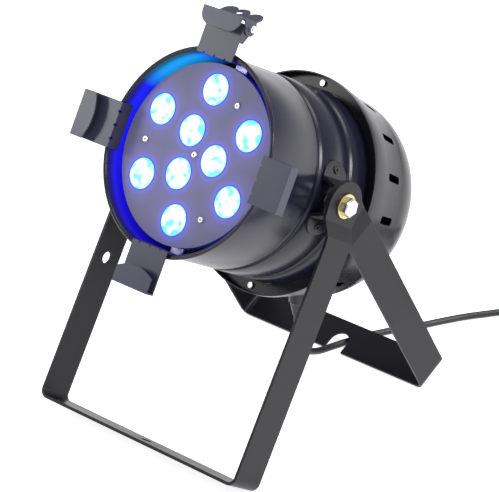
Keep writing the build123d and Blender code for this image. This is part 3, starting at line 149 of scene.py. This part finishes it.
# ---------------------------------------------------------------- floor and light
# A white studio sweep with broad soft lights, so that the black paint shows its shape by reflections.
bpy.ops.mesh.primitive_plane_add(size=60, location=(0, 0, 0))
floor = bpy.context.active_object
floor.name = "floor"
white = bpy.data.materials.new("studio_white")
white.use_nodes = True
surface = white.node_tree.nodes["Principled BSDF"]
surface.inputs["Base Color"].default_value = (0.9, 0.9, 0.9, 1)
surface.inputs["Roughness"].default_value = 0.9
surface.inputs["Specular IOR Level"].default_value = 0.1
surface.inputs["Emission Color"].default_value = (1, 1, 1, 1)
surface.inputs["Emission Strength"].default_value = 0.75
floor.data.materials.append(white)
world = bpy.data.worlds.new("studio")
bpy.context.scene.world = world
world.use_nodes = True
world.node_tree.nodes["Background"].inputs["Color"].default_value = (1, 1, 1, 1)
world.node_tree.nodes["Background"].inputs["Strength"].default_value = 0.42
for name, spot, size, power in (
    ("key", (2.6, 0.4, 2.2), 0.9, 55),
    ("fill", (-2.2, -1.6, 1.4), 0.8, 16),
    ("front", (0.3, -2.8, 1.6), 0.6, 10),
    ("top", (0.3, 0.9, 3.0), 1.6, 40),
):
    light_data = bpy.data.lights.new(name, "AREA")
    light_data.size = size
    light_data.energy = power
    light = bpy.data.objects.new(name, light_data)
    aim = (Vector((0, 0, 0.2)) - Vector(spot)).to_track_quat("-Z", "Y")
    light.matrix_world = Matrix.Translation(spot) @ aim.to_matrix().to_4x4()
    bpy.context.collection.objects.link(light)

# ---------------------------------------------------------------- the can's own frame
# The can looks along FORWARD. Its pieces are made upright about the origin and then set in this frame.
TILT = math.radians(31.9)
PIVOT = Vector((0, -0.000324, 0.2395))
FORWARD = Vector((0, -math.cos(TILT), math.sin(TILT)))
UPWARD = Vector((0, math.sin(TILT), math.cos(TILT)))
RIGHT = Vector((1, 0, 0))
CAN = PIVOT - UPWARD * 0.0028
can_place = Matrix.Translation(CAN) @ Matrix((RIGHT, UPWARD, FORWARD)).transposed().to_4x4()
OUTER_RING, INNER_RING, FIRST_LENS = 0.063, 0.024, 92.2
FACE = 0.0815
LENSES = [(OUTER_RING, FIRST_LENS + 60 * k) for k in range(6)]
LENSES += [(INNER_RING, FIRST_LENS + 30 + 120 * k) for k in range(3)]


def in_can(radius, angle, station):
    """A point in the can's frame, by radius and angle round the axis and station along it."""
    turn = math.radians(angle)
    return can_place @ Vector((radius * math.cos(turn), radius * math.sin(turn), station))


# ---------------------------------------------------------------- yokes
# Two bent straps of 36 x 3 mm steel, powder coated semi-gloss black, with a fine orange peel in the coat.
peel = bpy.data.node_groups.new("powder_coat", "ShaderNodeTree")
for name, start in (("Scale", 900), ("Roughness", 0.4), ("Depth", 0.1)):
    peel.interface.new_socket(name, in_out="INPUT", socket_type="NodeSocketFloat").default_value = start
peel.interface.new_socket("Roughness", in_out="OUTPUT", socket_type="NodeSocketFloat")
peel.interface.new_socket("Normal", in_out="OUTPUT", socket_type="NodeSocketVector")
inside, outside = peel.nodes.new("NodeGroupInput"), peel.nodes.new("NodeGroupOutput")
place = peel.nodes.new("ShaderNodeTexCoord")
grain = peel.nodes.new("ShaderNodeTexNoise")
grain.inputs["Detail"].default_value = 2
cloud = peel.nodes.new("ShaderNodeTexNoise")
cloud.inputs["Scale"].default_value = 22
spread = peel.nodes.new("ShaderNodeMapRange")
spread.inputs["To Min"].default_value = -0.05
spread.inputs["To Max"].default_value = 0.05
add = peel.nodes.new("ShaderNodeMath")
bump = peel.nodes.new("ShaderNodeBump")
bump.inputs["Distance"].default_value = 0.0001
peel.links.new(place.outputs["Object"], grain.inputs["Vector"])
peel.links.new(place.outputs["Object"], cloud.inputs["Vector"])
peel.links.new(inside.outputs["Scale"], grain.inputs["Scale"])
peel.links.new(cloud.outputs["Fac"], spread.inputs["Value"])
peel.links.new(spread.outputs["Result"], add.inputs[0])
peel.links.new(inside.outputs["Roughness"], add.inputs[1])
peel.links.new(add.outputs["Value"], outside.inputs["Roughness"])
peel.links.new(grain.outputs["Fac"], bump.inputs["Height"])
peel.links.new(inside.outputs["Depth"], bump.inputs["Strength"])
peel.links.new(bump.outputs["Normal"], outside.inputs["Normal"])


def coated(name, colour, roughness, depth=0.12, scale=900.0, sheen=0.5):
    """A painted or moulded finish with the coat's fine grain."""
    material = bpy.data.materials.new(name)
    material.use_nodes = True
    tree = material.node_tree
    shader = tree.nodes["Principled BSDF"]
    shader.inputs["Base Color"].default_value = (*colour, 1)
    shader.inputs["Specular IOR Level"].default_value = sheen
    coat = tree.nodes.new("ShaderNodeGroup")
    coat.node_tree = peel
    coat.inputs["Scale"].default_value = scale
    coat.inputs["Roughness"].default_value = roughness
    coat.inputs["Depth"].default_value = depth
    tree.links.new(coat.outputs["Roughness"], shader.inputs["Roughness"])
    tree.links.new(coat.outputs["Normal"], shader.inputs["Normal"])
    return material


def only(piece):
    """Select one piece alone."""
    bpy.ops.object.select_all(action="DESELECT")
    piece.select_set(True)
    bpy.context.view_layer.objects.active = piece


def finish(piece, body, slot, material, *nodes):
    """The piece's finish, and the frame piece that it stands for."""
    piece.data.materials.clear()
    piece.data.materials.append(material)
    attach(piece, body)
    if nodes:
        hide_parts(*nodes)
    return piece


def dressed(node, body, slot, material, bevel=0.0, smooth=30.0):
    """A clean copy of a frame piece: its faces merged, its edges eased, and its own finish."""
    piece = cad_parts[node].copy()
    piece.data = piece.data.copy()
    piece.name = node + "_finished"
    piece.parent = None
    bpy.context.collection.objects.link(piece)
    only(piece)
    bpy.ops.object.mode_set(mode="EDIT")
    bpy.ops.mesh.select_all(action="SELECT")
    bpy.ops.mesh.remove_doubles(threshold=1e-6)
    if bevel:
        bpy.ops.mesh.dissolve_limited(angle_limit=math.radians(0.3))
    bpy.ops.object.mode_set(mode="OBJECT")
    if bevel:
        ease = piece.modifiers.new("eased", "BEVEL")
        ease.width = bevel
        ease.segments = 2
        ease.limit_method = "ANGLE"
        ease.angle_limit = math.radians(40)
        ease.use_clamp_overlap = True
        bpy.ops.object.modifier_apply(modifier=ease.name)
    bpy.ops.object.shade_smooth_by_angle(angle=math.radians(smooth))
    level = piece.modifiers.new("level", "WEIGHTED_NORMAL")
    level.keep_sharp = True
    bpy.ops.object.modifier_apply(modifier=level.name)
    return finish(piece, body, slot, material, node)


yoke_black = coated("yoke_black", (0.009, 0.0085, 0.012), 0.36, sheen=0.28)
for node, body in (("front_yoke", "front_yoke"), ("rear_yoke", "rear_yoke")):
    dressed(node, body, "black_steel", yoke_black, bevel=0.0005)

# ---------------------------------------------------------------- pivots
# M10 bolts in bright zinc on yellow passivated washers, with fibre washers between the yokes and the can.
def plated(name, colour, roughness):
    """Plated steel with a faint cloudiness."""
    material = coated(name, colour, roughness, depth=0.05)
    material.node_tree.nodes["Principled BSDF"].inputs["Metallic"].default_value = 1.0
    return material


bright_zinc = plated("bright_zinc", (0.62, 0.63, 0.66), 0.28)
yellow_zinc = plated("yellow_zinc", (0.6, 0.5, 0.24), 0.33)
fibre = coated("fibre", (0.03, 0.025, 0.022), 0.7)
dressed("pivot_bolts", "rear_yoke", "bright_zinc", bright_zinc, bevel=0.0003)
dressed("pivot_nuts", "rear_yoke", "bright_zinc", bright_zinc, bevel=0.0003)
dressed("pivot_washers", "rear_yoke", "yellow_zinc", yellow_zinc, bevel=0.0002)
dressed("fibre_washers", "rear_yoke", "fibre", fibre)

# ---------------------------------------------------------------- light on the paint
# The blue light of the lenses is painted as glow on the face plate round each lens and on the inside of the
# rim.
near = bpy.data.node_groups.new("lens_distance", "ShaderNodeTree")
near.interface.new_socket("Distance", in_out="OUTPUT", socket_type="NodeSocketFloat")
outside = near.nodes.new("NodeGroupOutput")
place = near.nodes.new("ShaderNodeTexCoord")
nearest = None
for radius, angle in LENSES:
    reach = near.nodes.new("ShaderNodeVectorMath")
    reach.operation = "DISTANCE"
    reach.inputs[1].default_value = in_can(radius, angle, FACE)
    near.links.new(place.outputs["Object"], reach.inputs[0])
    if nearest is None:
        nearest = reach.outputs["Value"]
        continue
    lesser = near.nodes.new("ShaderNodeMath")
    lesser.operation = "MINIMUM"
    near.links.new(nearest, lesser.inputs[0])
    near.links.new(reach.outputs["Value"], lesser.inputs[1])
    nearest = lesser.outputs["Value"]
near.links.new(nearest, outside.inputs["Distance"])


def along(tree, origin, axis):
    """How far a point lies from an origin along an axis, in the piece's own coordinates."""
    place = tree.nodes.new("ShaderNodeTexCoord")
    offset = tree.nodes.new("ShaderNodeVectorMath")
    offset.operation = "SUBTRACT"
    offset.inputs[1].default_value = origin
    dot = tree.nodes.new("ShaderNodeVectorMath")
    dot.operation = "DOT_PRODUCT"
    dot.inputs[1].default_value = axis
    tree.links.new(place.outputs["Object"], offset.inputs[0])
    tree.links.new(offset.outputs["Vector"], dot.inputs[0])
    return dot.outputs["Value"]


def ramp(tree, value, low, high, stops):
    """Colours along a value between two ends."""
    span = tree.nodes.new("ShaderNodeMapRange")
    span.inputs["From Min"].default_value = low
    span.inputs["From Max"].default_value = high
    colours = tree.nodes.new("ShaderNodeValToRGB")
    while len(colours.color_ramp.elements) < len(stops):
        colours.color_ramp.elements.new(0.5)
    for element, (at, colour) in zip(colours.color_ramp.elements, stops):
        element.position = at
        element.color = (*colour, 1)
    tree.links.new(value, span.inputs["Value"])
    tree.links.new(span.outputs["Result"], colours.inputs["Fac"])
    return colours.outputs["Color"]


def times(tree, one, other):
    """The product of two colours or masks."""
    mix = tree.nodes.new("ShaderNodeMix")
    mix.data_type = "RGBA"
    mix.blend_type = "MULTIPLY"
    mix.inputs["Factor"].default_value = 1.0
    tree.links.new(one, mix.inputs["A"])
    tree.links.new(other, mix.inputs["B"])
    return mix.outputs["Result"]


# ---------------------------------------------------------------- barrel
# Spun from thin sheet: a rolled rim, two rolled grooves, and four tabs behind the rear cover's inner flange.
def lathe(name, profile, steps, closed=True):
    """A profile of (radius, station) points spun round the can's axis."""
    bpy.ops.object.select_all(action="DESELECT")
    bpy.ops.mesh.primitive_plane_add(size=0.001, location=(0, 0, 0))
    piece = bpy.context.active_object
    piece.name = name
    bpy.ops.object.mode_set(mode="EDIT")
    bpy.ops.mesh.select_all(action="SELECT")
    bpy.ops.mesh.merge(type="CENTER")
    here = Vector((profile[0][0], 0, profile[0][1]))
    bpy.ops.transform.translate(value=here)
    for radius, station in profile[1:] + (profile[:1] if closed else []):
        step = Vector((radius, 0, station)) - here
        bpy.ops.mesh.extrude_region_move(TRANSFORM_OT_translate={"value": step})
        here += step
    bpy.ops.mesh.select_all(action="SELECT")
    bpy.ops.mesh.remove_doubles(threshold=1e-7)
    bpy.ops.mesh.select_all(action="SELECT")
    bpy.ops.mesh.spin(steps=steps, angle=2 * math.pi, center=(0, 0, 0), axis=(0, 0, 1))
    bpy.ops.mesh.select_all(action="SELECT")
    bpy.ops.mesh.remove_doubles(threshold=1e-7)
    bpy.ops.mesh.normals_make_consistent(inside=False)
    bpy.ops.object.mode_set(mode="OBJECT")
    return piece


def settle(piece, smooth=30.0):
    """Set a piece made about the origin in the can's frame."""
    only(piece)
    bpy.ops.object.transform_apply(location=True, rotation=True, scale=True)
    piece.matrix_world = can_place
    bpy.ops.object.transform_apply(location=True, rotation=True, scale=True)
    bpy.ops.object.shade_smooth_by_angle(angle=math.radians(smooth))
    return piece


def arc(centre, radius, start, end, steps):
    """Points along an arc, as (radius, station) pairs."""
    turns = [math.radians(start + (end - start) * k / steps) for k in range(steps + 1)]
    return [(centre[0] + radius * math.cos(a), centre[1] + radius * math.sin(a)) for a in turns]


SHEET = 0.0012
BARREL = 0.0964
groove = []
for middle in (0.0185, -0.029):
    side = [(0, 0.0046), (0.0004, 0.0038), (0.0018, 0.0023), (0.0022, 0.0014)]
    groove += [(BARREL - sunk, middle + off) for sunk, off in side]
    groove += [(BARREL - sunk, middle - off) for sunk, off in reversed(side)]
barrel_profile = arc((0.0981, 0.0928), 0.0019, 180, -90, 12) + [(BARREL, 0.0905), *groove, (BARREL, -0.066)]
barrel_profile += [(radius - SHEET, station) for radius, station in reversed(groove)]
barrel_profile.insert(len(barrel_profile) - len(groove), (BARREL - SHEET, -0.066))
barrel_profile += [(BARREL - SHEET, 0.0925)]
barrel = lathe("barrel", barrel_profile, 192)
tabs = []
for k in range(4):
    turn = math.radians(-90 + 90 * k)
    bpy.ops.object.select_all(action="DESELECT")
    spot = (0.1011 * math.cos(turn), 0.1011 * math.sin(turn), -0.0628)
    tab_size = (0.0106, 0.014, SHEET)
    bpy.ops.mesh.primitive_cube_add(size=1, location=spot, rotation=(0, 0, turn), scale=tab_size)
    tab = bpy.context.active_object
    corner = tab.modifiers.new("eased", "BEVEL")
    corner.width = 0.0002
    corner.segments = 2
    bpy.ops.object.transform_apply(location=True, rotation=True, scale=True)
    bpy.ops.object.modifier_apply(modifier=corner.name)
    tabs.append(tab)
only(barrel)
for tab in tabs:
    tab.select_set(True)
bpy.ops.object.join()
settle(barrel)
can_black = coated("can_black", (0.011, 0.010, 0.016), 0.26, depth=0.06, sheen=0.34)
# Painted light: the inside of the barrel near the rim glows blue, as emission where the lenses' light would
# fall, in a band along its depth.
rim_painted_light = coated("rim_painted_light", (0.011, 0.010, 0.024), 0.26, depth=0.06, sheen=0.34)
tree = rim_painted_light.node_tree
forward = along(tree, CAN, FORWARD)
leftward = along(tree, CAN, -RIGHT)
upright = along(tree, CAN, UPWARD)
outward = tree.nodes.new("ShaderNodeCombineXYZ")
reach = tree.nodes.new("ShaderNodeVectorMath")
reach.operation = "LENGTH"
tree.links.new(leftward, outward.inputs["X"])
tree.links.new(upright, outward.inputs["Y"])
tree.links.new(outward.outputs["Vector"], reach.inputs[0])
inner_side = ramp(tree, reach.outputs["Value"], 0.0952, 0.0964, [(0.0, (1, 1, 1)), (1.0, (0.0, 0.0, 0.0))])
painted_light_depth = ramp(tree, forward, 0.04, 0.0945, [
    (0.0, (0.0, 0.0, 0.0)), (0.35, (0.004, 0.002, 0.35)), (0.7, (0.01, 0.005, 1.0)),
    (0.8, (0.01, 0.004, 0.9)), (0.9, (0.006, 0.002, 0.24)), (1.0, (0.004, 0.001, 0.15))])
# A painted highlight: the glow rises to a bright streak toward the upper left of the rim's inside.
painted_streak = ramp(tree, along(tree, CAN, (-RIGHT * 0.62 + UPWARD * 0.78)), -0.1, 0.1, [
    (0.0, (0.5, 0.3, 0.35)), (0.6, (1.0, 1.0, 0.8)), (0.935, (1.0, 3.0, 1.0)), (0.965, (1.0, 70.0, 1.0)),
    (1.0, (1.0, 90.0, 1.0))])
painted_blue_light = times(tree, times(tree, inner_side, painted_light_depth), painted_streak)
shader = tree.nodes["Principled BSDF"]
tree.links.new(painted_blue_light, shader.inputs["Emission Color"])
shader.inputs["Emission Strength"].default_value = 1.0
finish(barrel, "can", "black_can", rim_painted_light, "can_barrel")

# ---------------------------------------------------------------- rear cover
# A spun cover over the barrel's back: a short skirt, two folds with sixteen vents between them, and a domed
# back with openings for the display, the keys and the two sockets.
DOME = (0.043, -0.106)
cover_profile = [(0, -0.1628), (0.020, -0.1628), *arc(DOME, 0.0568, -90, 0, 24), (0.1048, -0.075)]
cover_profile += [(0.10764, -0.0622), (0.0967, -0.0622), (0.0967, -0.0610), (0.1079, -0.0610)]
cover_profile += [(0.1088, -0.057)]
cover_profile += [(0.1088, -0.051), (0.110, -0.051), (0.110, -0.057), (0.106, -0.075), (0.101, -0.106)]
cover_profile += [*arc(DOME, 0.058, 0, -90, 24)[1:], (0.020, -0.164), (0, -0.164)]
cover = lathe("cover", cover_profile, 192, closed=False)


def cutter(kind, **size):
    """A block or cylinder that is taken out of a piece."""
    bpy.ops.object.select_all(action="DESELECT")
    if kind == "block":
        bpy.ops.mesh.primitive_cube_add(size=1, **size)
    else:
        bpy.ops.mesh.primitive_cylinder_add(vertices=48, **size)
    block = bpy.context.active_object
    bpy.ops.object.transform_apply(location=True, rotation=True, scale=True)
    return block


cutters = []
for k in range(16):
    turn = 2 * math.pi * k / 16
    spot = (0.104 * math.cos(turn), 0.104 * math.sin(turn), -0.0905)
    slot = cutter("block", location=spot, rotation=(0, 0, turn), scale=(0.018, 0.0075, 0.021))
    only(slot)
    corner = slot.modifiers.new("rounded", "BEVEL")
    corner.width = 0.002
    corner.segments = 4
    bpy.ops.object.modifier_apply(modifier=corner.name)
    cutters.append(slot)
for x in (0.0165, -0.0165):
    cutters.append(cutter("round", radius=0.0119, depth=0.006, location=(x, -0.014, -0.1634)))
cutters.append(cutter("block", location=(-0.0165, -0.002, -0.1634), scale=(0.0068, 0.0042, 0.006)))
cutters.append(cutter("block", location=(0, 0.0205, -0.1634), scale=(0.0342, 0.0142, 0.006)))
for k in range(4):
    cutters.append(cutter("round", radius=0.0033, depth=0.006, location=(0.012 * (k - 1.5), 0.007, -0.1634)))
only(cutters[0])
for block in cutters[1:]:
    block.select_set(True)
bpy.ops.object.join()
openings = bpy.context.active_object
only(cover)
cut = cover.modifiers.new("openings", "BOOLEAN")
cut.operation = "DIFFERENCE"
cut.solver = "EXACT"
cut.use_self = True
cut.object = openings
bpy.ops.object.modifier_apply(modifier=cut.name)
bpy.data.objects.remove(openings, do_unlink=True)
settle(cover, 25.0)
finish(cover, "can", "black_can", can_black, "rear_cover")

# ---------------------------------------------------------------- clips, brackets and the sprung latch
# Folded steel sheet in the same black paint; on the clips and the latch it is drawn lighter and bluer, painted
# blue light of the lenses. The fixed clips are riveted inside the rim, the top one swings on a pin.
# Painted light: a lighter, bluer copy of the black for the pieces in front of the lenses.
clip_black_painted_light = coated("clip_black_painted_light", (0.035, 0.034, 0.065), 0.3, depth=0.06)
for node in ("gel_clip_left", "gel_clip_right", "gel_clip_bottom", "latch_bracket"):
    dressed(node, "can", "black_steel", clip_black_painted_light, bevel=0.0003)
for node in ("side_bracket_left", "side_bracket_right", "bracket_rivets"):
    dressed(node, "can", "black_steel", can_black, bevel=0.0003)
dressed("latch_clip", "latch", "black_steel", clip_black_painted_light, bevel=0.0003)
for node in ("latch_pin", "latch_nut", "rear_cover_screws", "face_screws"):
    dressed(node, "can", "bright_zinc", bright_zinc, bevel=0.0001)
dressed("latch_spring", "can", "spring_steel", bright_zinc)

# ---------------------------------------------------------------- light engine
# A painted face plate with nine 30 mm lenses in moulded cups over blue emitters. Their light spilling
# round them is painted as glow on the plate and on the cups. Boards, heat sink and supply fill the barrel
# behind.
face_grey = coated("face_grey", (0.13, 0.125, 0.2), 0.45, depth=0.05)
tree = face_grey.node_tree
distance = tree.nodes.new("ShaderNodeGroup")
distance.node_tree = near
# Painted light: a blue glow on the plate round each lens, fading with distance from it.
painted_spill = ramp(tree, distance.outputs["Distance"], 0.0145, 0.034, [
    (0.0, (0.03, 0.05, 0.95)), (0.1, (0.03, 0.03, 0.5)), (0.35, (0.015, 0.012, 0.17)),
    (1.0, (0.0, 0.0, 0.04))])
tree.links.new(painted_spill, tree.nodes["Principled BSDF"].inputs["Emission Color"])
tree.nodes["Principled BSDF"].inputs["Emission Strength"].default_value = 0.9
dressed("face_plate", "can", "black_can", face_grey)

lens_glow = bpy.data.materials.new("lens_glow")
lens_glow.use_nodes = True
tree = lens_glow.node_tree
shader = tree.nodes["Principled BSDF"]
shader.inputs["Base Color"].default_value = (0.25, 0.5, 0.6, 1)
shader.inputs["Roughness"].default_value = 0.08
distance = tree.nodes.new("ShaderNodeGroup")
distance.node_tree = near
place = tree.nodes.new("ShaderNodeTexCoord")
patches = tree.nodes.new("ShaderNodeTexNoise")
patches.inputs["Scale"].default_value = 105
patches.inputs["Detail"].default_value = 1
tree.links.new(place.outputs["Object"], patches.inputs["Vector"])
mottle = ramp(tree, patches.outputs["Fac"], 0.5, 0.62, [(0.0, (1.0, 1.0, 1.0)), (1.0, (0.02, 0.72, 0.86))])
rings = ramp(tree, distance.outputs["Distance"], 0.0, 0.0155, [
    (0.0, (0.2, 0.75, 0.8)), (0.12, (0.6, 1.0, 1.0)), (0.2, (1.0, 1.0, 1.0)), (0.84, (1.0, 1.0, 1.0)),
    (0.92, (0.35, 0.85, 1.0)), (1.0, (0.03, 0.15, 0.9))])
look = times(tree, mottle, rings)
tree.links.new(look, shader.inputs["Emission Color"])
shader.inputs["Emission Strength"].default_value = 0.95
# The lens cups are black mouldings; their blue colour and glow are painted light of the emitters.
holder_painted_blue_light = coated("holder_painted_blue_light", (0.01, 0.02, 0.15), 0.4)
surface = holder_painted_blue_light.node_tree.nodes["Principled BSDF"]
surface.inputs["Emission Color"].default_value = (0.0, 0.06, 0.7, 1)
surface.inputs["Emission Strength"].default_value = 0.6
for number in range(1, 10):
    dressed(f"lens_{number}", "can", "lens_clear", lens_glow)
    dressed(f"lens_holder_{number}", "can", "holder_black", holder_painted_blue_light)
board_green = coated("board_green", (0.02, 0.12, 0.05), 0.45)
aluminium = plated("aluminium", (0.7, 0.71, 0.73), 0.4)
brass = plated("brass", (0.75, 0.55, 0.25), 0.35)
for node in ("led_board", "power_supply", "control_board"):
    dressed(node, "can", "board_green", board_green)
dressed("heat_sink", "can", "bare_aluminium", aluminium)
dressed("face_standoffs", "can", "brass_hex", brass)
dressed("led_emitters", "can", "led_resin", lens_glow)

# ---------------------------------------------------------------- rear panel, gland and plug
# Moulded black connectors, a smoked window and four grey keys on the flat back, and the lead's gland, tie
# and plug.
moulded = coated("moulded_black", (0.012, 0.012, 0.013), 0.35)
window = coated("window", (0.02, 0.004, 0.004), 0.12, depth=0.0)
grey_key = coated("grey_key", (0.12, 0.12, 0.13), 0.5)
for node in ("dmx_input", "dmx_output"):
    dressed(node, "can", "socket_black", moulded, bevel=0.0002)
dressed("cord_gland", "can", "gland_black", moulded, bevel=0.0003)
dressed("display_window", "can", "smoked_window", window, bevel=0.0001)
for name in ("menu", "up", "down", "enter"):
    dressed(f"button_{name}", f"button_{name}", "button_grey", grey_key, bevel=0.0002)
dressed("dmx_latch", "dmx_latch", "socket_tab", grey_key, bevel=0.0002)
strap = coated("strap", (0.012, 0.012, 0.013), 0.8)
tie = dressed("cord_tie", "rear_yoke", "tie_strap", strap, bevel=0.0002)
plug = dressed("plug_body", "rear_yoke", "plug_rubber", moulded, bevel=0.0003)
pins = dressed("plug_pins", "rear_yoke", "pin_nickel", bright_zinc, bevel=0.0003)
